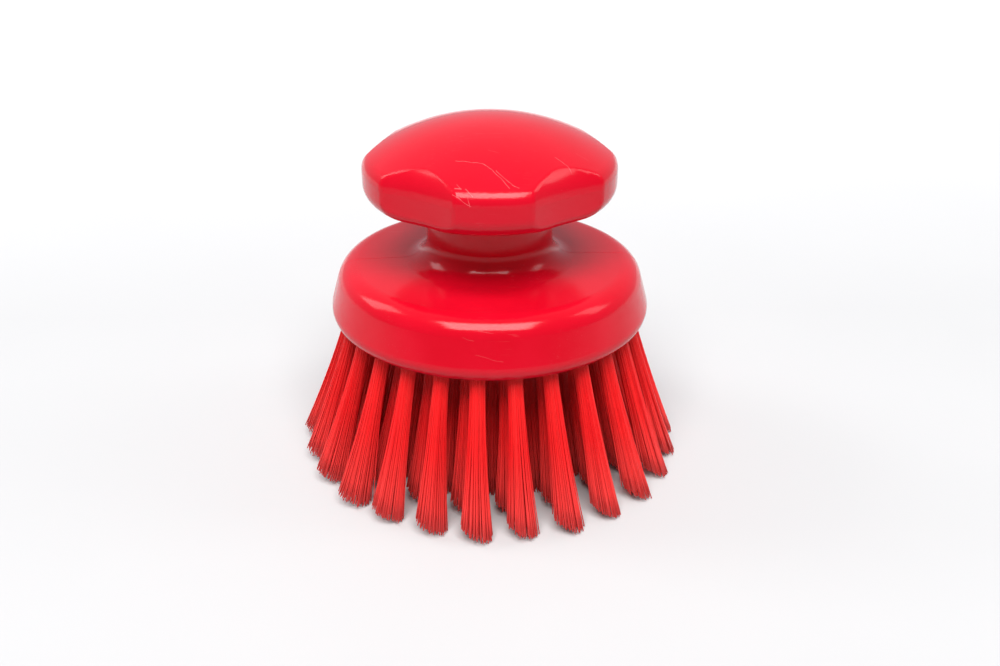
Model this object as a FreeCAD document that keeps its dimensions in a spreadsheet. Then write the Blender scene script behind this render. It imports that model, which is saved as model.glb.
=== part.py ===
import FreeCAD, Part
import os
import Sketcher

# Round hand scrub brush: a one-piece moulded block with a scalloped palm knob, and rows of bristle tufts
# that are folded over flat wire staples in blind holes in its underside.
# Millimetres and degrees. +Z is up, the origin is on the brush axis in the plane of the bristle tips,
# and one lobe of the knob points to the front, which is -Y.

SIZES = {
    # block, from the underside up; the corners are before rounding
    "block_radius": 56.4,
    "rim_radius": 50.8,
    "rim_height": 20.0,
    "crown_rise": 0.7,
    "neck_radius": 21.4,
    "finger_gap": 21.8,
    "knob_radius": 42.3,
    "knob_wall": 13.4,
    "dome_rise": 13.1,
    # roundings of the block
    "bottom_round": 4.5,
    "rim_round": 7.5,
    "neck_foot_round": 8.0,
    "neck_top_round": 5.0,
    "knob_lower_round": 6.0,
    "knob_upper_round": 5.5,
    # scallops in the side of the knob: rounded over at the top, where they run out through the dome
    "scallop_count": 5,
    "scallop_radius": 75.0,
    "scallop_depth": 3.7,
    "scallop_upper_round": 11.0,
    "scallop_run_out": 0.2,
    "scallop_edge_round": 3.0,
    # tufts and the blind holes that hold them
    "bristle_length": 50.5,
    "hole_radius": 2.6,
    "hole_depth": 12.0,
    "waist_radius": 3.3,
    "tip_radius": 5.2,
    "tip_slant": 24.0,
    "fit_clearance": 0.05,
    # anchor staples, each across its hole with both ends in the block
    "staple_height": 2.2,
    "staple_thickness": 0.4,
    "staple_bite": 0.7,
    "fold_height": 1.6,
    # rows of holes: the outer row's place in from the edge of the block and its lean outwards, then for each
    # row how many holes it has and the first one's turn from the front
    "edge_margin": 8.4,
    "outer_lean": 16.8,
    "outer_row_count": 26,
    "outer_row_turn": 7.7,
    "second_row_count": 20,
    "second_row_turn": 6.5,
    "third_row_count": 15,
    "third_row_turn": 0.0,
    "fourth_row_count": 10,
    "fourth_row_turn": 18.0,
    "fifth_row_count": 5,
    "fifth_row_turn": 0.0,
    "centre_row_count": 1,
    "centre_row_turn": 0.0,
}

# The rows stand at even steps from the outer row to the middle, and lean less in the same steps.
ROWS = ("outer_row", "second_row", "third_row", "fourth_row", "fifth_row", "centre_row")

# Tufts of these rows are cut on a slant, longer to the right; the inner ones are cut level.
SLANTED_ROWS = ("outer_row", "second_row")

# Heights as formulas over the sheet, from the bristle tips up.
UNDERSIDE = "Sizes.bristle_length"
RIM = f"({UNDERSIDE} + Sizes.rim_height)"
NECK_FOOT = f"({RIM} + Sizes.crown_rise)"
KNOB_UNDERSIDE = f"({NECK_FOOT} + Sizes.finger_gap)"
KNOB_EDGE = f"({KNOB_UNDERSIDE} + Sizes.knob_wall)"
KNOB_TOP = f"({KNOB_EDGE} + Sizes.dome_rise)"
DOME_RADIUS = "((Sizes.knob_radius ^ 2 + Sizes.dome_rise ^ 2) / (2 * Sizes.dome_rise))"
DOME_CENTRE = f"({KNOB_TOP} - {DOME_RADIUS})"

# Along a hole, from its mouth into the block: the lower end of the staple, and where cutting starts outside.
STAPLE_START = "(Sizes.hole_depth - Sizes.fold_height - Sizes.staple_height)"
STAPLE_LENGTH = "(2 * (Sizes.hole_radius + Sizes.staple_bite))"
CUT_START = "(-Sizes.hole_radius)"

# Turns a profile on the YZ plane to the front, so that the turned faces close in the middle of a lobe.
TO_THE_FRONT = "placement(vector(0; 0; 0); rotation(0; 180; 0))"

# Part of a turn that the cutter of a scallop takes about its own axis, past both ends of the scallop.
SCALLOP_SWEEP = 40

# Turn of the front from +X about the axis, and how near each other two places count as one.
FRONT = -90
SAME_PLACE = 0.01

doc = FreeCAD.newDocument("scrub_brush")
sheet = doc.addObject("Spreadsheet::Sheet", "Sizes")
for line, (alias, size) in enumerate(SIZES.items(), start=1):
    sheet.set(f"A{line}", alias)
    sheet.set(f"B{line}", str(size))
    sheet.setAlias(f"B{line}", alias)
doc.recompute()


def value(formula):
    """Number that a formula over the sheet gives."""
    return float(sheet.evalExpression(str(formula)))


def count(row):
    """How many tufts a row has."""
    return int(value(f"Sizes.{row}_count"))


def origin_feature(body, role):
    """Plane or axis of a body's own origin."""
    return next(f for f in body.Origin.OriginFeatures if f.Role == role)


def new_body(label):
    body = doc.addObject("PartDesign::Body", label)
    body.Label = label
    return body


def place_on(feature, body, plane, offset=None):
    """Attach a sketch or primitive to an origin plane, moved by a placement formula."""
    feature.AttachmentSupport = [(origin_feature(body, plane), "")]
    feature.MapMode = "FlatFace"
    if offset:
        feature.setExpression("AttachmentOffset", offset)
    return feature


def new_sketch(body, label, plane, offset=None):
    return place_on(body.newObject("Sketcher::SketchObject", label), body, plane, offset)


def pin(sketch, geometry, end, across, up):
    """Hold one point of a sketch at two formulas, measured from the sketch's origin."""
    for kind, formula in (("DistanceX", across), ("DistanceY", up)):
        place = sketch.addConstraint(Sketcher.Constraint(kind, -1, 1, geometry, end, value(formula)))
        sketch.setExpression(f"Constraints[{place}]", str(formula))


def point(across, up):
    """Point of a sketch at two formulas."""
    return FreeCAD.Vector(value(across), value(up), 0)


def draw_chain(sketch, corners):
    """Straight lines through corners that are pairs of formulas, each corner held in place."""
    points = [point(*corner) for corner in corners]
    lines = [sketch.addGeometry(Part.LineSegment(a, b), False) for a, b in zip(points, points[1:])]
    for line, corner in zip(lines, corners):
        pin(sketch, line, 1, *corner)
    for line, following in zip(lines, lines[1:]):
        sketch.addConstraint(Sketcher.Constraint("Coincident", line, 2, following, 1))
    return lines


def hold_radius(sketch, curve, radius):
    """Hold the radius of a circle or arc at a formula."""
    size = sketch.addConstraint(Sketcher.Constraint("Radius", curve, value(radius)))
    sketch.setExpression(f"Constraints[{size}]", radius)


def draw_circle(sketch, radius, across="0", up="0"):
    ring = Part.Circle(point(across, up), FreeCAD.Vector(0, 0, 1), value(radius))
    ring = sketch.addGeometry(ring, False)
    pin(sketch, ring, 3, across, up)
    hold_radius(sketch, ring, radius)


def draw_arc(sketch, centre, start, end):
    """Arc the short way from start to end, which are points at one distance from the centre."""
    outward = start.add(end).multiply(0.5).sub(centre).normalize()
    half_way = centre.add(outward.multiply(start.distanceToPoint(centre)))
    return sketch.addGeometry(Part.Arc(start, half_way, end), False)


def turn_copies(body, label, features, copies):
    """Repeat features evenly round the brush axis."""
    pattern = body.newObject("PartDesign::PolarPattern", label)
    pattern.Originals = features
    pattern.Axis = (origin_feature(body, "Z_Axis"), [""])
    pattern.Angle = 360
    pattern.setExpression("Occurrences", copies)
    body.Tip = pattern


def round_edges(body, label, radius, wanted):
    """Fillet the edges of the body so far that a test picks out."""
    doc.recompute()
    base = body.Tip
    solid = base.Shape
    names = [f"Edge{n}" for n, edge in enumerate(solid.Edges, start=1) if wanted(solid, edge)]
    if not names:
        raise RuntimeError(f"{label} finds no edge")
    fillet = body.newObject("PartDesign::Fillet", label)
    fillet.Base = (base, names)
    fillet.setExpression("Radius", radius)
    body.Tip = fillet
    return fillet


def middle_of(edge):
    """Radius and height of the middle of an edge."""
    middle = edge.valueAt((edge.FirstParameter + edge.LastParameter) / 2)
    return (middle.x ** 2 + middle.y ** 2) ** 0.5, middle.z


def on_circle(radius, height):
    """Test for the edge that runs round the axis at a radius and height."""
    def test(solid, edge):
        r, z = middle_of(edge)
        return abs(r - value(radius)) < SAME_PLACE and abs(z - value(height)) < SAME_PLACE
    return test


def round_a_scallop(solid, edge):
    """Test for the edges where a scallop, which is turned about an axis outside the knob, meets the rest."""
    centres = [getattr(face.Surface, "Center", None) for face in solid.ancestorsOfType(edge, Part.Face)]
    outside = [c is not None and (c.x ** 2 + c.y ** 2) ** 0.5 > value("Sizes.knob_radius") for c in centres]
    return any(outside) and not all(outside)


def outer_share(row):
    """A row's radius and lean as a share of the outer row's."""
    return 1 - ROWS.index(row) / (len(ROWS) - 1)


def row_lean(row):
    return f"({outer_share(row)} * Sizes.outer_lean)"


def turn_angle(row, index):
    return f"({FRONT} + Sizes.{row}_turn + {index} * 360 / Sizes.{row}_count)"


def hole_place(row, index):
    """Placement of a hole: origin at its mouth, axis going up into the block and leaning inwards."""
    turn = turn_angle(row, index)
    radius = f"({outer_share(row)} * (Sizes.block_radius - Sizes.edge_margin))"
    across = f"{radius} * cos({turn})"
    along = f"{radius} * sin({turn})"
    return f"placement(vector({across}; {along}; {UNDERSIDE}); rotation({turn}; -{row_lean(row)}; 0))"


def shift(across, along, up):
    return f"placement(vector({across}; {along}; {up}); rotation(0; 0; 0))"


def turn_block_profile(body):
    """Solid of revolution: base, neck and knob, with sharp corners."""
    sketch = new_sketch(body, "block_profile", "YZ_Plane", TO_THE_FRONT)
    corners = [
        ("0", UNDERSIDE),
        ("Sizes.block_radius", UNDERSIDE),
        ("Sizes.rim_radius", RIM),
        ("Sizes.neck_radius", NECK_FOOT),
        ("Sizes.neck_radius", KNOB_UNDERSIDE),
        ("Sizes.knob_radius", KNOB_UNDERSIDE),
        ("Sizes.knob_radius", KNOB_EDGE),
    ]
    lines = draw_chain(sketch, corners)
    top = point("0", KNOB_TOP)
    dome = draw_arc(sketch, point("0", DOME_CENTRE), point(*corners[-1]), top)
    axis = sketch.addGeometry(Part.LineSegment(top, point("0", UNDERSIDE)), False)
    pin(sketch, axis, 1, "0", KNOB_TOP)
    sketch.addConstraint(Sketcher.Constraint("Coincident", axis, 2, lines[0], 1))
    sketch.addConstraint(Sketcher.Constraint("Coincident", dome, 1, lines[-1], 2))
    sketch.addConstraint(Sketcher.Constraint("Coincident", dome, 2, axis, 1))
    sketch.addConstraint(Sketcher.Constraint("PointOnObject", dome, 3, -2))
    pin(sketch, lines[-1], 2, *corners[-1])
    turned = body.newObject("PartDesign::Revolution", "block_turning")
    turned.Profile = sketch
    turned.ReferenceAxis = (sketch, ["V_Axis"])
    turned.Angle = 360


def round_block(body):
    """Soften every corner of the turned profile that a hand meets."""
    corners = {
        "knob_upper": ("Sizes.knob_radius", KNOB_EDGE),
        "knob_lower": ("Sizes.knob_radius", KNOB_UNDERSIDE),
        "neck_top": ("Sizes.neck_radius", KNOB_UNDERSIDE),
        "neck_foot": ("Sizes.neck_radius", NECK_FOOT),
        "rim": ("Sizes.rim_radius", RIM),
        "bottom": ("Sizes.block_radius", UNDERSIDE),
    }
    for name, place in corners.items():
        round_edges(body, f"{name}_edge", f"Sizes.{name}_round", on_circle(*place))


def cut_scallops(body):
    """Shallow hollows round the side of the knob, each turned about an axis outside it."""
    # The first one is half a step from the front, where a lobe is left.
    turn = f"({FRONT} + 180 / Sizes.scallop_count)"
    wall_radius = "(Sizes.knob_radius - Sizes.scallop_depth)"
    axis_radius = f"({wall_radius} + Sizes.scallop_radius)"
    across = f"{axis_radius} * cos({turn})"
    along = f"{axis_radius} * sin({turn})"
    place = f"placement(vector({across}; 0; -{along}); rotation(0; {turn} + 180; 0))"
    sketch = new_sketch(body, "scallop_profile", "XZ_Plane", place)
    # The rounding at the top starts upright on the wall and ends along the dome, just above its surface.
    reach = f"({DOME_RADIUS} + Sizes.scallop_run_out - Sizes.scallop_upper_round)"
    inward = f"({wall_radius} - Sizes.scallop_upper_round)"
    upward = f"sqrt({reach} ^ 2 - {inward} ^ 2)"
    centre = ("Sizes.scallop_radius + Sizes.scallop_upper_round", f"({DOME_CENTRE} + {upward})")
    round_start = ("Sizes.scallop_radius", centre[1])
    round_end = (
        f"({centre[0]} - Sizes.scallop_upper_round * {inward} / {reach})",
        f"({centre[1]} + Sizes.scallop_upper_round * {upward} / {reach})",
    )
    foot = f"({KNOB_UNDERSIDE} - Sizes.finger_gap / 2)"
    top = f"({round_end[1]} + ({axis_radius} - {round_end[0]}) * {inward} / {upward})"
    wall = draw_chain(sketch, [("0", foot), ("Sizes.scallop_radius", foot), round_start])
    back = draw_chain(sketch, [round_end, (axis_radius, top), ("0", top), ("0", foot)])
    pin(sketch, wall[-1], 2, *round_start)
    rounding = draw_arc(sketch, point(*centre), point(*round_end), point(*round_start))
    sketch.addConstraint(Sketcher.Constraint("Coincident", rounding, 1, back[0], 1))
    sketch.addConstraint(Sketcher.Constraint("Coincident", rounding, 2, wall[-1], 2))
    sketch.addConstraint(Sketcher.Constraint("Coincident", back[-1], 2, wall[0], 1))
    hold_radius(sketch, rounding, "Sizes.scallop_upper_round")
    scallop = body.newObject("PartDesign::Groove", "scallop")
    scallop.Profile = sketch
    scallop.ReferenceAxis = (sketch, ["V_Axis"])
    scallop.Midplane = True
    scallop.Angle = SCALLOP_SWEEP
    turn_copies(body, "scallops", [scallop], "Sizes.scallop_count")
    pattern = body.Tip
    edges = round_edges(body, "scallop_edges", "Sizes.scallop_edge_round", round_a_scallop)
    # The turned faces stay split where they close on themselves, in the middle of the front lobe.
    for feature in (scallop, pattern, edges):
        feature.Refine = False


def make_moulding():
    """The one-piece moulding before its holes are drilled."""
    body = new_body("moulding")
    turn_block_profile(body)
    round_block(body)
    cut_scallops(body)
    return body


def group(label, pieces):
    """Separate solids kept together as one sub-part."""
    bundle = doc.addObject("Part::Compound", label)
    bundle.Label = label
    bundle.Links = pieces
    return bundle


def make_hole(row, index):
    """Cutter for one blind hole, starting outside the underside."""
    hole = doc.addObject("Part::Cylinder", f"{row}_hole")
    hole.setExpression("Radius", "Sizes.hole_radius")
    hole.setExpression("Height", f"Sizes.hole_depth - {CUT_START}")
    hole.setExpression("Placement", f"{hole_place(row, index)} * {shift('0', '0', CUT_START)}")
    return hole


def make_groove(row, index):
    """Cutter for the groove that a staple leaves on its way from the mouth of its hole to its seat."""
    width = "(Sizes.staple_thickness + 2 * Sizes.fit_clearance)"
    length = f"({STAPLE_LENGTH} + 2 * Sizes.fit_clearance)"
    groove = doc.addObject("Part::Box", f"{row}_groove")
    groove.setExpression("Length", width)
    groove.setExpression("Width", length)
    seat = f"({STAPLE_START} + Sizes.staple_height + Sizes.fit_clearance)"
    groove.setExpression("Height", f"{seat} - {CUT_START}")
    corner = shift(f"-{width} / 2", f"-{length} / 2", CUT_START)
    groove.setExpression("Placement", f"{hole_place(row, index)} * {corner}")
    return groove


def cut(label, base, cutters):
    """Take a group of cutters out of a solid."""
    result = doc.addObject("Part::Cut", label)
    result.Label = label
    result.Base = base
    result.Tool = group(f"{label}_cutters", cutters)
    return result


def make_block():
    """The moulding with a hole and a staple groove for every tuft."""
    seats = [(row, index) for row in ROWS for index in range(count(row))]
    drilled = cut("drilled_moulding", make_moulding(), [make_hole(*seat) for seat in seats])
    return cut("brush_block", drilled, [make_groove(*seat) for seat in seats])


def tip_slant(row):
    return "Sizes.tip_slant" if row in SLANTED_ROWS else "0"


def tuft_length(row):
    """Free length along a tuft's axis, to the middle of its end, whose lowest point is at zero height."""
    end_height = f"Sizes.tip_radius * sin({tip_slant(row)})"
    return f"(({UNDERSIDE} - {end_height}) / cos({row_lean(row)}))"


def tip_place(row, index):
    """Placement of a tuft's end from the mouth of its hole: levelled, and sloped down to the right."""
    turn = turn_angle(row, index)
    level = f"placement(vector(0; 0; -{tuft_length(row)}); rotation(0; {row_lean(row)}; 0))"
    slope = f"placement(vector(0; 0; 0); rotation(-{turn}; {tip_slant(row)}; 0))"
    turn_back = f"placement(vector(0; 0; 0); rotation({turn}; 0; 0))"
    return f"{level} * {slope} * {turn_back}"


def make_tuft(row, index, label):
    """Bundle of filament: a straight root in its hole, slotted for the staple, and a flared free length."""
    body = new_body(label)
    body.setExpression("Placement", hole_place(row, index))
    root_radius = "(Sizes.hole_radius - Sizes.fit_clearance)"
    root = place_on(body.newObject("PartDesign::AdditiveCylinder", "root"), body, "XY_Plane")
    root.setExpression("Radius", root_radius)
    root.setExpression("Height", "Sizes.hole_depth - Sizes.fit_clearance")
    mouth = new_sketch(body, "mouth", "XY_Plane")
    draw_circle(mouth, root_radius)
    waist = new_sketch(body, "waist", "XY_Plane", shift("0", "0", f"-{tuft_length(row)} / 2"))
    draw_circle(waist, "Sizes.waist_radius")
    tips = new_sketch(body, "tips", "XY_Plane", tip_place(row, index))
    draw_circle(tips, "Sizes.tip_radius")
    flare = body.newObject("PartDesign::AdditiveLoft", "flare")
    flare.Profile = mouth
    flare.Sections = [waist, tips]
    flare.Ruled = True
    slot_width = "(Sizes.staple_thickness + 2 * Sizes.fit_clearance)"
    slot_length = "(2 * Sizes.hole_radius)"
    slot_start = f"({STAPLE_START} - Sizes.fit_clearance)"
    slot_place = shift(f"-{slot_width} / 2", f"-{slot_length} / 2", slot_start)
    slot = place_on(body.newObject("PartDesign::SubtractiveBox", "slot"), body, "XY_Plane", slot_place)
    slot.setExpression("Length", slot_width)
    slot.setExpression("Width", slot_length)
    slot.setExpression("Height", "Sizes.staple_height + 2 * Sizes.fit_clearance")
    body.Tip = slot
    return body


def make_staple(row, index):
    """Flat piece of wire across a hole, inside the fold of its tuft."""
    staple = doc.addObject("Part::Box", f"{row}_staple")
    staple.setExpression("Length", "Sizes.staple_thickness")
    staple.setExpression("Width", STAPLE_LENGTH)
    staple.setExpression("Height", "Sizes.staple_height")
    corner = shift("-Sizes.staple_thickness / 2", f"-{STAPLE_LENGTH} / 2", STAPLE_START)
    staple.setExpression("Placement", f"{hole_place(row, index)} * {corner}")
    return staple


def make_row(row, name):
    """One sub-part for each tuft of a row."""
    return [make_tuft(row, index, f"{name}_{index + 1:02d}") for index in range(count(row))]


sub_parts = [make_block()]
sub_parts += make_row("outer_row", "outer_tuft")
sub_parts += make_row("second_row", "second_row_tuft")
sub_parts.append(group("third_row_tufts", make_row("third_row", "third_row_tuft")))
sub_parts.append(group("fourth_row_tufts", make_row("fourth_row", "fourth_row_tuft")))
sub_parts += make_row("fifth_row", "fifth_row_tuft")
sub_parts.append(make_tuft("centre_row", 0, "centre_tuft"))
staples = [make_staple(row, index) for row in ROWS for index in range(count(row))]
sub_parts.append(group("anchor_staples", staples))
doc.recompute()

for item in doc.Objects:
    if "Invalid" in item.State or "Error" in item.State:
        raise RuntimeError(f"{item.Label} failed: {item.State}")
drilled_away = doc.moulding.Shape.Volume - doc.brush_block.Shape.Volume
if drilled_away < sum(count(row) for row in ROWS) * doc.outer_row_hole.Shape.Volume / 2:
    raise RuntimeError("the holes are not cut to their depth")
for piece in sub_parts:
    if piece.Shape.isNull() or not piece.Shape.isValid():
        raise RuntimeError(f"{piece.Label} has no sound shape")

os.makedirs("parts", exist_ok=True)
for piece in sub_parts:
    piece.Shape.exportStep(f"parts/{piece.Label}.step")
box = Part.makeCompound([piece.Shape for piece in sub_parts]).optimalBoundingBox()
print(f"{len(sub_parts)} sub-parts, {box.XLength:.1f} x {box.YLength:.1f} x {box.ZLength:.1f} mm")
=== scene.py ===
import math
from collections import namedtuple

import bpy
import numpy as np
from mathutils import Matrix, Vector
from mathutils.bvhtree import BVHTree


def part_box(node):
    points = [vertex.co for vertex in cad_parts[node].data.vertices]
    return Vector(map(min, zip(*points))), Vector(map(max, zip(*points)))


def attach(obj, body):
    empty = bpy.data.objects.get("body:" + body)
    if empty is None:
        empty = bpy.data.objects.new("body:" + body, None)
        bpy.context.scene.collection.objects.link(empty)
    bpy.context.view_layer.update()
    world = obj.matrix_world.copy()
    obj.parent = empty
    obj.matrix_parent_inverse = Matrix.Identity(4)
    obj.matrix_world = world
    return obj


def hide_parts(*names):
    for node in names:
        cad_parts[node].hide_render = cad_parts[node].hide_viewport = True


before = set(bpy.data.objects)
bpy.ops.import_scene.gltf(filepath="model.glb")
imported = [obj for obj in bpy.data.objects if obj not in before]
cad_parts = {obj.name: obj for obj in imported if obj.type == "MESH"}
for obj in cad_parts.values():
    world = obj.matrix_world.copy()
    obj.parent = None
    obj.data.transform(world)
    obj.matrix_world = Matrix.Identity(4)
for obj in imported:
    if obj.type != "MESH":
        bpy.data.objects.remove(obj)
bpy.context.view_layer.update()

# Round hand scrub brush with a glossy moulded block and folded strands of bristle in every hole.
# Metres and degrees, in the frame of the solids: +Z is up, -Y is the front, the floor is at zero.

MM = 0.001
FRONT = -90.0
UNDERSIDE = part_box("brush_block")[0].z
BLOCK_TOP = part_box("brush_block")[1].z

# Camera, from the photograph's perspective
PHOTO_WIDTH = 1000
FOCAL_PIXELS = 1029.6
AXIS_PIXELS_LEFT = 10.3
SENSOR_WIDTH = 36.0
CAMERA_DISTANCE = 370.0 * MM
CAMERA_AIM_HEIGHT = UNDERSIDE - 9.9 * MM
CAMERA_ELEVATION = 27.2
CAMERA_TURN = -1.7
NEAREST_SEEN = 10.0 * MM

# Rows of tufts: each row's ring and lean are a share of the outer row's
OUTER_RADIUS = 48.0 * MM
OUTER_LEAN = 16.8
Row = namedtuple("Row", "name node count share turn")
ROWS = (
    Row("outer", "outer_tuft_{:02d}", 26, 1.0, 7.7),
    Row("second_row", "second_row_tuft_{:02d}", 20, 0.8, 6.5),
    Row("third_row", "third_row_tufts", 15, 0.6, 0.0),
    Row("fourth_row", "fourth_row_tufts", 10, 0.4, 18.0),
    Row("fifth_row", "fifth_row_tuft_{:02d}", 5, 0.2, 0.0),
    Row("centre", "centre_tuft", 1, 0.0, 0.0),
)

# One tuft: strands folded over the staple, so that each has two free ends. STAPLE_TOP and BELOW_STAPLE are
# depths from the mouth of the hole.
STRANDS = 96
STRAND_RADIUS = 0.17 * MM
STRAND_SIDES = 6
FREE_POINTS = 9
HOLE_RADIUS = 2.55 * MM
TIP_RADIUS = 5.2 * MM
STAPLE_TOP = 10.4 * MM
STAPLE_CLEAR = 0.46 * MM
BELOW_STAPLE = 6.0 * MM
FOLD_RISE = 1.2 * MM
FOLD_TURNS = (135.0, 90.0, 45.0)
STRAIGHT_SHARE = 0.42
GOLDEN_ANGLE = math.pi * (3 - math.sqrt(5))
SEED = 11
TONE_LAYER = "strand_tone"
ALONG_LAYER = "strand_along"

# How the free ends lie: ragged, swayed to the front, a few astray, and in the two outer rows longer to the
# right by a slant
SLANTED_ROWS = ("outer", "second_row")
SLANT = 0.45
RAGGED = 0.32 * MM
TIP_SCATTER = 0.28 * MM
TUFT_SWAY = 0.5 * MM
SWAY = np.array([0.3, -1.0, 0.0]) * MM
RIGHT_SWAY = np.array([-0.5, -2.0, 0.0]) * MM
STRAY_SHARE = 0.009
STRAY_REACH = 2.8 * MM

# Parting line of the mould, a fine ridge over the base on each side of the neck
PARTING_TURN = 2.0
PARTING_WIDTH = 0.28 * MM
PARTING_HEIGHT = 0.05 * MM
PARTING_STEP = 0.5 * MM
PARTING_INNER = 24.0 * MM
PARTING_OUTER = 60.0 * MM
PARTING_LOW = UNDERSIDE + 3.0 * MM
PARTING_HIGH = UNDERSIDE + 37.0 * MM
LEAST_UPWARD = 0.5
RIDGE_SIDES = 3

# Scratches that show in the photograph, as runs of points in millimetres: on the dome seen from above, and
# on the lobe and the base seen from the front, with heights over the underside
DOME_SCRATCHES = (
    ((-11.3, -27.2), (-6.8, -28.6), (-2.9, -29.8), (-0.3, -32.3), (2.3, -35.3), (4.6, -38.6)),
    ((1.2, -32.7), (3.2, -35.2), (5.5, -37.5), (7.5, -38.3)),
    ((19.4, -23.2), (22.6, -25.5), (24.4, -27.4)),
)
FAINT_DOME_SCRATCHES = (
    ((-1.2, -23.6), (2.1, -25.3)),
    ((26.8, -17.5), (30.2, -19)),
)
LOBE_SCRATCHES = (
    ((-12.3, 56.4), (-9.4, 55), (-6.8, 53.4)),
    ((-7.6, 55.9), (-7.1, 53.3)),
    ((-10.7, 58.8), (-9.6, 57.7)),
    ((-8.2, 57.9), (-6.2, 56.1)),
    ((-11.4, 57.8), (-9.5, 57.8)),
)
FAINT_BASE_SCRATCHES = (
    ((-9.6, 14.9), (-6.6, 14.2)),
    ((-5.1, 17), (-0.2, 16.5)),
    ((-5.8, 10), (2.5, 7.9)),
)
FAINT_SHARE = 0.35
SCRATCH_WIDTH = 0.15 * MM
KNOB_HEIGHT = 24.0 * MM

# How the scratches waver and break up
WANDER_SCALE = 260.0
WANDER_REACH = 1.2 * MM
WANDER_MIDDLE = (0.5, 0.5, 0.5)
BREAK_SCALE = 700.0
BREAK_NOISE = (0.35, 0.6)
BREAK_STRENGTHS = (0.5, 1.0)

# Hair scratches all over the block: the turns of their directions, and how thin and how patchy they are
HAIR_TURNS = ((20, 15, 35), (-40, 10, 110), (10, -30, 75))
HAIR_STRETCH = (1.0, 60.0, 60.0)
HAIR_SCALE = 38.0
HAIR_NOISE = (0.70, 0.76)
HAIR_PATCH_SCALE = 45.0
HAIR_PATCH_NOISE = (0.5, 0.68)
HAIR_SHARE = 0.2

# Reliefs of the surfaces, and two parts of a noise's range
Relief = namedtuple("Relief", "height strength")
MIDDLE_NOISE = (0.35, 0.65)
WIDE_NOISE = (0.3, 0.7)

# Block plastic
BLOCK_REDS = ((0.56, 0.002, 0.013, 1), (0.60, 0.003, 0.017, 1))
BLOCK_ROUGHNESS = (0.12, 0.19)
BLOCK_IOR = 1.49
BLOCK_SPECULAR = 0.27
SCRATCHED_RED = (0.90, 0.40, 0.40, 1)
SCRATCH_PALENESS = 0.25
SCRATCH_ROUGHNESS = 0.3
FLOW_SCALE = 34.0
PEEL_SCALE = 900.0
FLOW_RELIEF = Relief(0.25 * MM, 0.35)
PEEL_RELIEF = Relief(0.01 * MM, 0.35)
SCRATCH_RELIEF = Relief(0.03 * MM, 0.8)

# Bristle filament
BRISTLE_REDS = ((0.80, 0.007, 0.010, 1), (0.86, 0.018, 0.018, 1))
BRISTLE_ROUGHNESS = (0.38, 0.50)
BRISTLE_IOR = 1.57
BRISTLE_SPECULAR = 0.25
BLOTCH_RED = (0.71, 0.006, 0.008, 1)
BLOTCH_SCALE = 420.0
BLOTCH_NOISE = (0.4, 0.75)
BLOTCH_STRENGTHS = (0.0, 0.3)
# Painted glow: the strands are painted paler towards their free ends, standing in for light that scatters
# through the thin tips
PAINTED_TIP_GLOW_RED = (0.80, 0.085, 0.075, 1)
PAINTED_TIP_GLOW_SPAN = (0.65, 1.0)
PAINTED_TIP_GLOW_STRENGTHS = (0.0, 0.5)
FILAMENT_GRAIN_SCALE = 2600.0
FILAMENT_RELIEF = Relief(0.03 * MM, 0.4)

# Staple steel
STEEL_GREYS = ((0.50, 0.50, 0.52, 1), (0.70, 0.70, 0.72, 1))
STEEL_ROUGHNESS = (0.25, 0.42)
STEEL_GRAIN_SCALE = 3000.0
STEEL_RELIEF = Relief(0.02 * MM, 0.3)

# Floor paint: painted light that makes it whiter far behind the brush, and painted shade that makes it
# softly greyer in front of it
FLOOR_PALES = ((0.54, 0.54, 0.54, 1), (0.56, 0.56, 0.56, 1))
FLOOR_PAINTED_LIGHT = (0.84, 0.84, 0.84, 1)
FLOOR_PAINTED_LIGHT_SPAN = (100.0 * MM, 900.0 * MM)
FLOOR_PAINTED_SHADE = (0.40, 0.40, 0.40, 1)
FLOOR_PAINTED_SHADE_SPAN = (-100.0 * MM, -320.0 * MM)
FLOOR_CLOUD_SCALE = 9.0
FLOOR_ROUGHNESS = 0.9
FLOOR_SPECULAR = 0.1
FLOOR_HALF = 8.0

# Studio light: soft boxes by direction, distance, width, height and how bright their faces look, and a
# surround that is brighter behind the brush than on the camera's side
Softbox = namedtuple("Softbox", "name direction distance width height radiance")
SOFTBOXES = (
    Softbox("key", (-0.02, -0.46, 0.89), 4.0, 3.6, 2.3, 10.5),
    Softbox("left", (-0.75, 0.25, 0.62), 3.0, 1.0, 1.4, 4.0),
    Softbox("right", (0.78, 0.05, 0.62), 3.0, 0.8, 1.2, 3.0),
)
SURROUND_TINT = (0.97, 0.98, 1.06, 1)
SURROUND_SPAN = (-0.5, 0.8)
SURROUND_STRENGTHS = (0.14, 0.56)


# Node helpers

def new_material(name):
    """Material with its node tree and its principled shader."""
    material = bpy.data.materials.new(name)
    material.use_nodes = True
    tree = material.node_tree
    return material, tree, tree.nodes["Principled BSDF"]


def feed(tree, socket, value):
    """Link a socket to another node's output, or set its value."""
    if isinstance(value, bpy.types.NodeSocket):
        tree.links.new(value, socket)
    else:
        socket.default_value = value


def feed_by_name(tree, node, inputs):
    """Feed the named inputs of a node."""
    for name, value in inputs.items():
        feed(tree, node.inputs[name], value)


def feed_in_turn(tree, node, values):
    """Feed the first inputs of a node in their order."""
    for socket, value in zip(node.inputs, values):
        feed(tree, socket, value)


def add_node(tree, kind, inputs=None, **settings):
    """Node of a kind with its settings, and its inputs fed by name."""
    node = tree.nodes.new(kind)
    for name, setting in settings.items():
        setattr(node, name, setting)
    feed_by_name(tree, node, inputs or {})
    return node


def object_place(tree):
    """Place on the object, in metres."""
    return add_node(tree, "ShaderNodeTexCoord").outputs["Object"]


def mesh_value(tree, layer_name):
    """Number that the mesh holds for every point."""
    return add_node(tree, "ShaderNodeAttribute", attribute_name=layer_name).outputs["Fac"]


def split(tree, vector):
    """The X, Y and Z of a vector, by name."""
    return add_node(tree, "ShaderNodeSeparateXYZ", {"Vector": vector}).outputs


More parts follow.
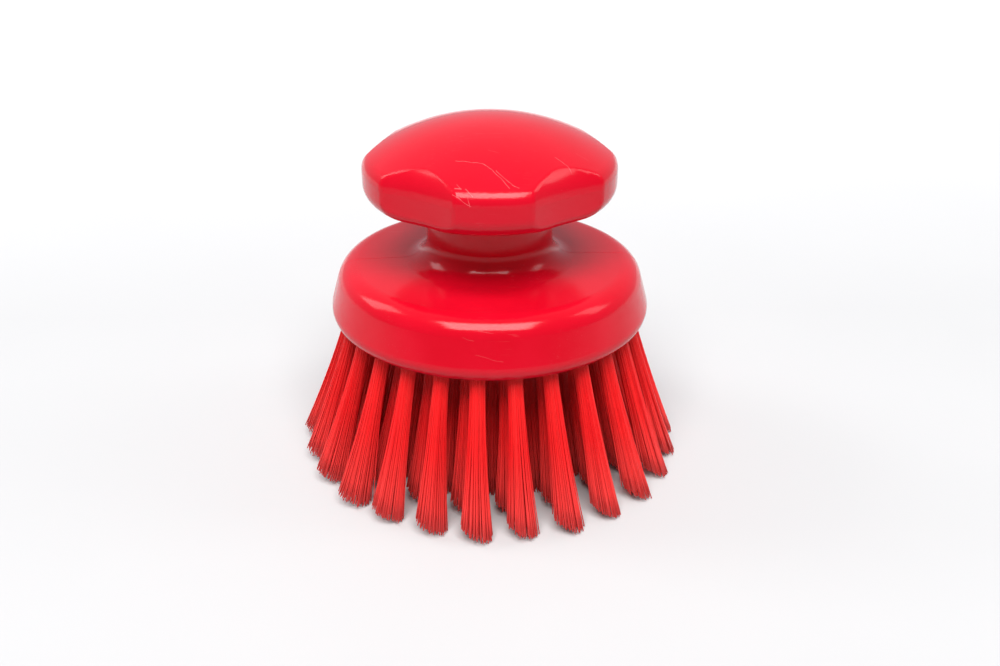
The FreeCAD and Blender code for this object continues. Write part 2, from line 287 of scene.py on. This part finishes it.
def calculate(tree, operation, *values, clamp=False):
    """Result of arithmetic on numbers."""
    node = add_node(tree, "ShaderNodeMath", operation=operation, use_clamp=clamp)
    feed_in_turn(tree, node, values)
    return node.outputs[0]


def vector_math(tree, operation, *values):
    """Result of arithmetic on vectors: a number for a dot product or a distance, otherwise a vector."""
    node = add_node(tree, "ShaderNodeVectorMath", operation=operation)
    feed_in_turn(tree, node, values)
    return node.outputs["Value" if operation in ("DOT_PRODUCT", "DISTANCE") else "Vector"]


def scaled(tree, vector, factor):
    """Vector times a number."""
    node = add_node(tree, "ShaderNodeVectorMath", {"Scale": factor}, operation="SCALE")
    feed(tree, node.inputs[0], vector)
    return node.outputs["Vector"]


def spread(tree, value, source, target=(0.0, 1.0), smooth=False):
    """Map a value's range to another range, kept inside it."""
    inputs = {"Value": value, "From Min": source[0], "From Max": source[1]}
    inputs |= {"To Min": target[0], "To Max": target[1]}
    kind = "SMOOTHSTEP" if smooth else "LINEAR"
    return add_node(tree, "ShaderNodeMapRange", inputs, interpolation_type=kind).outputs[0]


def noise(tree, place, scale, detail=2.0, output="Fac"):
    """Soft random number by place, or three of them from the output Color."""
    inputs = {"Vector": place, "Scale": scale, "Detail": detail}
    return add_node(tree, "ShaderNodeTexNoise", inputs).outputs[output]


def mix_colours(tree, share, first, second):
    """Blend of two colours."""
    node = add_node(tree, "ShaderNodeMix", data_type="RGBA")
    factor, colour_one, colour_two = node.inputs[0], node.inputs[6], node.inputs[7]
    feed(tree, factor, share)
    feed(tree, colour_one, first)
    feed(tree, colour_two, second)
    return node.outputs[2]


def strongest(tree, masks):
    """The largest of several masks."""
    total = masks[0]
    for mask in masks[1:]:
        total = calculate(tree, "MAXIMUM", total, mask)
    return total


def bump(tree, height, relief, normal=None):
    """Normal of a relief, on top of another normal if one is given."""
    inputs = {"Height": height, "Distance": relief.height, "Strength": relief.strength}
    if normal is not None:
        inputs["Normal"] = normal
    return add_node(tree, "ShaderNodeBump", inputs).outputs[0]


# Materials

def scratch_line(tree, place, start, end):
    """Mask of one straight scratch: strong on the line between two points and gone a width away."""
    along = [b - a for a, b in zip(start, end)]
    length_squared = sum(c * c for c in along)
    offset = vector_math(tree, "SUBTRACT", place, start)
    reached = vector_math(tree, "DOT_PRODUCT", offset, along)
    share = calculate(tree, "DIVIDE", reached, length_squared, clamp=True)
    away = vector_math(tree, "DISTANCE", offset, scaled(tree, along, share))
    return spread(tree, away, (0.0, SCRATCH_WIDTH), (1.0, 0.0), smooth=True)


def scratch_runs(tree, place, runs):
    """Mask of several runs of straight scratches."""
    lines = []
    for run in runs:
        for start, end in zip(run, run[1:]):
            lines.append(scratch_line(tree, place, start, end))
    return strongest(tree, lines)


def strong_and_faint(tree, place, strong_runs, faint_runs):
    """Mask of strong runs of scratches together with faint ones."""
    strong = scratch_runs(tree, place, strong_runs)
    faint = calculate(tree, "MULTIPLY", scratch_runs(tree, place, faint_runs), FAINT_SHARE)
    return strongest(tree, [strong, faint])


def seen_from_above(runs):
    """Runs of points given in X and Y, in metres."""
    return [[(x * MM, y * MM, 0) for x, y in run] for run in runs]


def seen_from_front(runs):
    """Runs of points given in X and height over the underside, in metres."""
    return [[(x * MM, 0, UNDERSIDE + z * MM) for x, z in run] for run in runs]


def placed_scratches(tree, place):
    """Mask of all the scratches that show in the photograph, a little uneven."""
    wander = noise(tree, place, WANDER_SCALE, output="Color")
    drift = vector_math(tree, "SUBTRACT", wander, WANDER_MIDDLE)
    bent = vector_math(tree, "ADD", place, scaled(tree, drift, WANDER_REACH))
    from_above = vector_math(tree, "MULTIPLY", bent, (1, 1, 0))
    from_front = vector_math(tree, "MULTIPLY", bent, (1, 0, 1))
    dome_runs = seen_from_above(DOME_SCRATCHES)
    faint_dome_runs = seen_from_above(FAINT_DOME_SCRATCHES)
    lobe_runs = seen_from_front(LOBE_SCRATCHES)
    faint_base_runs = seen_from_front(FAINT_BASE_SCRATCHES)
    dome = strong_and_faint(tree, from_above, dome_runs, faint_dome_runs)
    front = strong_and_faint(tree, from_front, lobe_runs, faint_base_runs)
    sides = split(tree, place)
    high = calculate(tree, "GREATER_THAN", sides["Z"], BLOCK_TOP - KNOB_HEIGHT)
    ahead = calculate(tree, "LESS_THAN", sides["Y"], 0.0)
    on_dome = calculate(tree, "MULTIPLY", dome, high)
    on_front = calculate(tree, "MULTIPLY", front, ahead)
    broken = spread(tree, noise(tree, place, BREAK_SCALE), BREAK_NOISE, BREAK_STRENGTHS)
    return calculate(tree, "MULTIPLY", strongest(tree, [on_dome, on_front]), broken)


def hair_scratches(tree, place):
    """Mask of sparse hair scratches in several directions."""
    directions = []
    for turns in HAIR_TURNS:
        rotation = tuple(math.radians(turn) for turn in turns)
        inputs = {"Vector": place, "Rotation": rotation, "Scale": HAIR_STRETCH}
        streaks = add_node(tree, "ShaderNodeMapping", inputs, vector_type="POINT").outputs[0]
        directions.append(spread(tree, noise(tree, streaks, HAIR_SCALE, detail=1.0), HAIR_NOISE))
    patches = spread(tree, noise(tree, place, HAIR_PATCH_SCALE), HAIR_PATCH_NOISE)
    return calculate(tree, "MULTIPLY", strongest(tree, directions), patches)


def block_plastic():
    """Glossy moulded polypropylene: flow unevenness, faint orange peel, hair scratches and scuffs."""
    material, tree, shader = new_material("block_plastic")
    place = object_place(tree)
    flow = noise(tree, place, FLOW_SCALE, detail=3.0)
    peel = noise(tree, place, PEEL_SCALE)
    hairs = calculate(tree, "MULTIPLY", hair_scratches(tree, place), HAIR_SHARE)
    worn = strongest(tree, [placed_scratches(tree, place), hairs])
    red = mix_colours(tree, spread(tree, flow, MIDDLE_NOISE), *BLOCK_REDS)
    paler = calculate(tree, "MULTIPLY", worn, SCRATCH_PALENESS)
    gloss = spread(tree, flow, WIDE_NOISE, BLOCK_ROUGHNESS)
    rougher = calculate(tree, "MULTIPLY", worn, SCRATCH_ROUGHNESS)
    sunk = calculate(tree, "MULTIPLY", worn, -1.0)
    waves = bump(tree, flow, FLOW_RELIEF)
    skin = bump(tree, peel, PEEL_RELIEF, waves)
    feed_by_name(tree, shader, {
        "Base Color": mix_colours(tree, paler, red, SCRATCHED_RED),
        "Roughness": calculate(tree, "ADD", gloss, rougher),
        "IOR": BLOCK_IOR,
        "Specular IOR Level": BLOCK_SPECULAR,
        "Normal": bump(tree, sunk, SCRATCH_RELIEF, skin),
    })
    return material


def bristle_filament():
    """Drawn polyester strands: each its own tone, blotched, with a fine grain, and painted paler towards the
    free ends as a painted glow of light scattering through the thin tips.
    """
    material, tree, shader = new_material("bristle_filament")
    tone = mesh_value(tree, TONE_LAYER)
    along = mesh_value(tree, ALONG_LAYER)
    place = object_place(tree)
    body = mix_colours(tree, tone, *BRISTLE_REDS)
    blotch = spread(tree, noise(tree, place, BLOTCH_SCALE), BLOTCH_NOISE, BLOTCH_STRENGTHS)
    mottled = mix_colours(tree, blotch, body, BLOTCH_RED)
    # Painted glow of light scattered through the tips, strongest at the free ends
    painted_tip_glow = spread(tree, along, PAINTED_TIP_GLOW_SPAN, PAINTED_TIP_GLOW_STRENGTHS, smooth=True)
    grain = noise(tree, place, FILAMENT_GRAIN_SCALE, detail=1.0)
    feed_by_name(tree, shader, {
        "Base Color": mix_colours(tree, painted_tip_glow, mottled, PAINTED_TIP_GLOW_RED),
        "Roughness": spread(tree, tone, (0.0, 1.0), BRISTLE_ROUGHNESS),
        "IOR": BRISTLE_IOR,
        "Specular IOR Level": BRISTLE_SPECULAR,
        "Normal": bump(tree, grain, FILAMENT_RELIEF),
    })
    return material


def staple_steel():
    """Rolled stainless wire with a fine grain and slightly varied sheen."""
    material, tree, shader = new_material("staple_steel")
    grain = noise(tree, object_place(tree), STEEL_GRAIN_SCALE)
    feed_by_name(tree, shader, {
        "Base Color": mix_colours(tree, grain, *STEEL_GREYS),
        "Roughness": spread(tree, grain, WIDE_NOISE, STEEL_ROUGHNESS),
        "Metallic": 1.0,
        "Normal": bump(tree, grain, STEEL_RELIEF),
    })
    return material


def floor_paint():
    """Pale floor, a little cloudy, with painted light that makes it whiter far behind the brush and painted
    shade that makes it greyer in front of it.
    """
    material, tree, shader = new_material("floor_paint")
    place = object_place(tree)
    cloud = noise(tree, place, FLOOR_CLOUD_SCALE, detail=3.0)
    pale = mix_colours(tree, cloud, *FLOOR_PALES)
    behind = split(tree, place)["Y"]
    # Painted light: whiter far behind the brush, making up for the lamps' light falling off there
    painted_light_share = spread(tree, behind, FLOOR_PAINTED_LIGHT_SPAN)
    # Painted shade: greyer in front of the brush, a dark stretch for the block's walls to reflect
    painted_shade_share = spread(tree, behind, FLOOR_PAINTED_SHADE_SPAN, smooth=True)
    with_painted_light = mix_colours(tree, painted_light_share, pale, FLOOR_PAINTED_LIGHT)
    feed_by_name(tree, shader, {
        "Base Color": mix_colours(tree, painted_shade_share, with_painted_light, FLOOR_PAINTED_SHADE),
        "Roughness": FLOOR_ROUGHNESS,
        "Specular IOR Level": FLOOR_SPECULAR,
    })
    return material


# Objects

def add_object(name, data):
    """New object in the scene."""
    thing = bpy.data.objects.new(name, data)
    bpy.context.scene.collection.objects.link(thing)
    return thing


def stand_off(thing, target, away, distance):
    """Put a light or the camera a distance away from a target, facing it."""
    thing.location = target + away * distance
    thing.rotation_euler = away.to_track_quat("Z", "Y").to_euler()


def dress(node, material):
    """Give a solid of the frame its material."""
    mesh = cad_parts[node].data
    mesh.materials.clear()
    mesh.materials.append(material)


# Bristles

def unit(vectors):
    """Vectors of length one."""
    return vectors / np.linalg.norm(vectors, axis=-1, keepdims=True)


def mouth_places():
    """Evenly packed places of a tuft's ends in its hole, half each side of the staple, paired by strand."""
    ends = np.arange(2 * STRANDS)
    reach = (HOLE_RADIUS - STRAND_RADIUS) * np.sqrt((ends + 0.5) / (2 * STRANDS))
    places = np.stack([reach * np.cos(ends * GOLDEN_ANGLE), reach * np.sin(ends * GOLDEN_ANGLE)], axis=1)
    across = np.argsort(places[:, 0])
    inner, outer = places[across[:STRANDS]], places[across[STRANDS:]]
    return inner[np.argsort(inner[:, 1])], outer[np.argsort(outer[:, 1])]


class Tuft:
    """Axes of one hole: its mouth, and the directions outward, sideways and down along the tuft."""

    def __init__(self, row, index):
        turn = math.radians(FRONT + row.turn + index * 360 / row.count)
        lean = math.radians(row.share * OUTER_LEAN)
        self.level = np.array([math.cos(turn), math.sin(turn), 0.0])
        self.sideways = np.array([-math.sin(turn), math.cos(turn), 0.0])
        self.down = self.level * math.sin(lean) - np.array([0, 0, math.cos(lean)])
        self.outward = self.level * math.cos(lean) + np.array([0, 0, math.sin(lean)])
        self.mouth = row.share * OUTER_RADIUS * self.level + np.array([0, 0, UNDERSIDE])
        self.foot = self.mouth + self.down * UNDERSIDE / math.cos(lean)
        self.sway = SWAY + RIGHT_SWAY * max(0.0, math.cos(turn))
        self.slant = SLANT if row.name in SLANTED_ROWS else 0.0

    def inside(self, places, depth):
        """Points in the hole at places across it, a depth in from the mouth."""
        flat = places[:, :1] * self.outward + places[:, 1:] * self.sideways
        return self.mouth + flat - self.down * np.broadcast_to(depth, (len(places), 1))


def free_ends(tuft, places, lean_aside, rng):
    """Where the free ends lie: fanned out, cut on a slant and ragged, with a few astray."""
    fan = places * TIP_RADIUS / (HOLE_RADIUS - STRAND_RADIUS)
    scatter = rng.normal(0.0, TIP_SCATTER, fan.shape)
    astray = rng.random(len(fan)) < STRAY_SHARE
    scatter += astray[:, None] * rng.uniform(-STRAY_REACH, STRAY_REACH, fan.shape)
    flat = fan + scatter
    tips = tuft.foot + flat[:, :1] * tuft.level + flat[:, 1:] * tuft.sideways + tuft.sway + lean_aside
    to_right = fan[:, 0] * tuft.level[0] + fan[:, 1] * tuft.sideways[0]
    ragged = np.abs(rng.normal(0.0, RAGGED, len(fan)))
    tips[:, 2] = tuft.slant * (TIP_RADIUS - to_right) + ragged
    return tips


def free_legs(tuft, places, tips):
    """Curves from the mouth to the free ends that leave the hole straight and then fan out."""
    roots = tuft.inside(places, 0.0)
    lengths = np.linalg.norm(tips - roots, axis=1, keepdims=True)
    guides = roots + tuft.down * lengths * STRAIGHT_SHARE
    steps = np.linspace(0.0, 1.0, FREE_POINTS)[None, :, None]
    by_root, by_guide, by_tip = (1 - steps) ** 2, 2 * steps * (1 - steps), steps ** 2
    return by_root * roots[:, None] + by_guide * guides[:, None] + by_tip * tips[:, None]


def folds(tuft, inner, outer):
    """Points of the strands inside the hole: up one side of the staple, over it and down the other."""
    inner, outer = inner.copy(), outer.copy()
    inner[:, 0] = np.minimum(inner[:, 0], -STAPLE_CLEAR)
    outer[:, 0] = np.maximum(outer[:, 0], STAPLE_CLEAR)
    middle, half = (inner + outer) / 2, (outer - inner) / 2
    rise = FOLD_RISE * half[:, :1] / HOLE_RADIUS
    points = [tuft.inside(inner, BELOW_STAPLE), tuft.inside(inner, STAPLE_TOP)]
    for turn in FOLD_TURNS:
        angle = math.radians(turn)
        points.append(tuft.inside(middle + half * math.cos(angle), STAPLE_TOP + rise * math.sin(angle)))
    points += [tuft.inside(outer, STAPLE_TOP), tuft.inside(outer, BELOW_STAPLE)]
    return np.stack(points, axis=1)


def strand_paths(tuft, rng):
    """Every strand of a tuft from one free end, over the staple, to the other."""
    inner, outer = mouth_places()
    lean_aside = np.append(rng.normal(0.0, TUFT_SWAY, 2), 0.0)
    inner_legs = free_legs(tuft, inner, free_ends(tuft, inner, lean_aside, rng))
    outer_legs = free_legs(tuft, outer, free_ends(tuft, outer, lean_aside, rng))
    return np.concatenate([inner_legs[:, ::-1], folds(tuft, inner, outer), outer_legs], axis=1)


def tube_points(paths, sideways):
    """Rings of points round every path."""
    ahead = unit(np.gradient(paths, axis=1))
    side = unit(sideways - (ahead @ sideways)[..., None] * ahead)
    up = np.cross(ahead, side)
    angles = np.arange(STRAND_SIDES) * 2 * math.pi / STRAND_SIDES
    ring = np.cos(angles)[:, None] * side[:, :, None] + np.sin(angles)[:, None] * up[:, :, None]
    return paths[:, :, None] + STRAND_RADIUS * ring


def tube_faces(strands, rings):
    """Faces of closed tubes: sides, and a flat end on each."""
    start = np.arange(strands)[:, None, None] * rings * STRAND_SIDES
    ring = start + np.arange(rings - 1)[None, :, None] * STRAND_SIDES
    corner = np.arange(STRAND_SIDES)
    following = np.roll(corner, -1)
    quads = [ring + corner, ring + following, ring + following + STRAND_SIDES, ring + corner + STRAND_SIDES]
    sides = np.stack(quads, axis=-1).reshape(-1, 4)
    first_ends = start.reshape(-1, 1) + corner[::-1]
    last_ends = start.reshape(-1, 1) + (rings - 1) * STRAND_SIDES + corner
    return sides.tolist() + first_ends.tolist() + last_ends.tolist()


def add_value(mesh, layer_name, values):
    """Number for every point of a mesh, for its material to read."""
    layer = mesh.attributes.new(layer_name, "FLOAT", "POINT")
    layer.data.foreach_set("value", np.ascontiguousarray(values, dtype=np.float32).ravel())


def bristle_mesh(name, tuft, rng):
    """One mesh of all the strands of a tuft."""
    points = tube_points(strand_paths(tuft, rng), tuft.sideways)
    strands, rings = points.shape[:2]
    mesh = bpy.data.meshes.new(name)
    mesh.from_pydata(points.reshape(-1, 3).tolist(), [], tube_faces(strands, rings), shade_flat=False)
    tones = rng.random(strands)[:, None, None]
    along = np.abs(np.linspace(-1.0, 1.0, rings))[None, :, None]
    add_value(mesh, TONE_LAYER, np.broadcast_to(tones, points.shape[:3]))
    add_value(mesh, ALONG_LAYER, np.broadcast_to(along, points.shape[:3]))
    return mesh


def add_bristles(material):
    """Folded strands in place of every tuft's solid."""
    rng = np.random.default_rng(SEED)
    for row in ROWS:
        for index in range(row.count):
            name = f"{row.name}_bristles_{index + 1:02d}"
            piece = add_object(name, bristle_mesh(name, Tuft(row, index), rng))
            piece.data.materials.append(material)
            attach(piece, "root")
            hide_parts(row.node.format(index + 1))


# Parting line

def surface_run(block, outward):
    """Points and normals over the base along the mould's parting, from the neck out and down to the foot."""
    found = []
    for step in range(int((PARTING_OUTER - PARTING_INNER) / PARTING_STEP)):
        above = outward * (PARTING_INNER + step * PARTING_STEP)
        above.z = PARTING_HIGH
        point, normal = block.ray_cast(above, Vector((0, 0, -1)))[:2]
        if point is not None and point.z > PARTING_LOW and normal.z > LEAST_UPWARD:
            found.append((point, normal))
    lowest = found[-1][0].z
    for step in range(1, int((lowest - PARTING_LOW) / PARTING_STEP)):
        beside = outward * PARTING_OUTER
        beside.z = lowest - step * PARTING_STEP
        point, normal = block.ray_cast(beside, -outward)[:2]
        if point is not None:
            found.append((point, normal))
    return found


def ridge_mesh(name, run, across):
    """Closed three-sided ridge along a run of points, with its two lower edges sunk in the surface."""
    points = []
    for point, normal in run:
        sunk = point - normal * PARTING_HEIGHT
        points += [sunk - across, point + normal * PARTING_HEIGHT, sunk + across]
    last = len(points) - RIDGE_SIDES
    faces = []
    for old in range(0, last, RIDGE_SIDES):
        new = old + RIDGE_SIDES
        for side in range(RIDGE_SIDES):
            following = (side + 1) % RIDGE_SIDES
            faces.append((old + side, old + following, new + following, new + side))
    faces += [(2, 1, 0), (last, last + 1, last + 2)]
    mesh = bpy.data.meshes.new(name)
    mesh.from_pydata(points, [], faces)
    return mesh


def add_parting_line(material):
    """Fine raised seam on both sides of the neck that follows the moulding's surface."""
    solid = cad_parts["brush_block"].data
    corners = [vertex.co for vertex in solid.vertices]
    block = BVHTree.FromPolygons(corners, [polygon.vertices[:] for polygon in solid.polygons])
    turn = math.radians(PARTING_TURN)
    for label, side in (("left", -1), ("right", 1)):
        outward = Vector((side * math.cos(turn), side * math.sin(turn), 0.0))
        across = Vector((0, 0, 1)).cross(outward) * PARTING_WIDTH / 2
        name = f"parting_line_{label}"
        piece = add_object(name, ridge_mesh(name, surface_run(block, outward), across))
        piece.data.materials.append(material)
        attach(piece, "root")


# Stage

def add_floor():
    """Plain floor that the brush stands on."""
    corners = [(FLOOR_HALF * x, FLOOR_HALF * y, 0) for x, y in ((-1, -1), (1, -1), (1, 1), (-1, 1))]
    mesh = bpy.data.meshes.new("floor")
    mesh.from_pydata(corners, [], [(0, 1, 2, 3)])
    mesh.materials.append(floor_paint())
    floor = add_object("floor", mesh)


def add_softbox(box):
    """Rectangular soft light that faces the brush; its power follows from how bright its face looks."""
    lamp = bpy.data.lights.new(box.name, "AREA")
    lamp.shape = "RECTANGLE"
    lamp.size = box.width
    lamp.size_y = box.height
    lamp.energy = math.pi * box.width * box.height * box.radiance
    light = add_object(box.name, lamp)
    stand_off(light, Vector((0, 0, UNDERSIDE)), Vector(box.direction).normalized(), box.distance)


def add_world():
    """Studio surround that gets brighter from the camera's side to the back."""
    world = bpy.data.worlds.new("studio")
    world.use_nodes = True
    tree = world.node_tree
    direction = add_node(tree, "ShaderNodeTexCoord").outputs["Generated"]
    strength = spread(tree, split(tree, direction)["Y"], SURROUND_SPAN, SURROUND_STRENGTHS, smooth=True)
    feed_by_name(tree, tree.nodes["Background"], {"Color": SURROUND_TINT, "Strength": strength})
    bpy.context.scene.world = world


def add_camera():
    """Camera at the photograph's angle, its frame shifted so that the brush stands left of the middle."""
    data = bpy.data.cameras.new("camera")
    data.sensor_width = SENSOR_WIDTH
    data.lens = SENSOR_WIDTH * FOCAL_PIXELS / PHOTO_WIDTH
    data.shift_x = AXIS_PIXELS_LEFT / PHOTO_WIDTH
    data.clip_start = NEAREST_SEEN
    turn = math.radians(CAMERA_TURN)
    lift = math.radians(CAMERA_ELEVATION)
    back = Vector((math.sin(turn) * math.cos(lift), -math.cos(turn) * math.cos(lift), math.sin(lift)))
    camera = add_object("camera", data)
    stand_off(camera, Vector((0, 0, CAMERA_AIM_HEIGHT)), back, CAMERA_DISTANCE)
    bpy.context.scene.camera = camera


plastic = block_plastic()
dress("brush_block", plastic)
dress("anchor_staples", staple_steel())
add_bristles(bristle_filament())
add_parting_line(plastic)
add_floor()
for softbox in SOFTBOXES:
    add_softbox(softbox)
add_world()
add_camera()
bpy.context.scene.view_settings.view_transform = "Standard"
